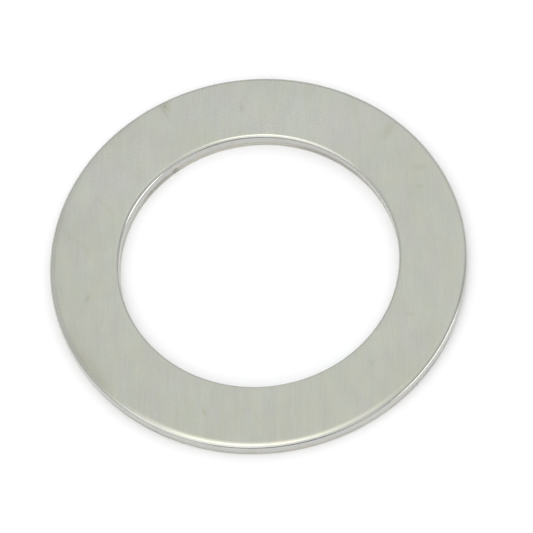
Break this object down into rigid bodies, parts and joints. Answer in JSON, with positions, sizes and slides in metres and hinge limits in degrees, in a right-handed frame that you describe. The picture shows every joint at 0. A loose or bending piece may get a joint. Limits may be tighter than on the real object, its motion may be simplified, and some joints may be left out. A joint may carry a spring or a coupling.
{
  "type": "flat washer",
  "caption": "Thin flat steel ring with a round hole, blanked from sheet, that spreads the load of a bolt head or nut over the surface under it.",
  "frame": {"origin": "on the bore's axis, at the underside", "axes": "+Z along the bore's axis, up out of the top face, the one with the rounded edges; the ring looks the same along any X and Y"},
  "size_m": [0.0381, 0.038, 0.0016],
  "materials": {
    "stainless_steel": "satin, as rolled, with a fine straight grain on the faces and bright sheared edges"
  },
  "bodies": {
    "root": {"washer": "stainless_steel"}
  },
  "joints": []
}
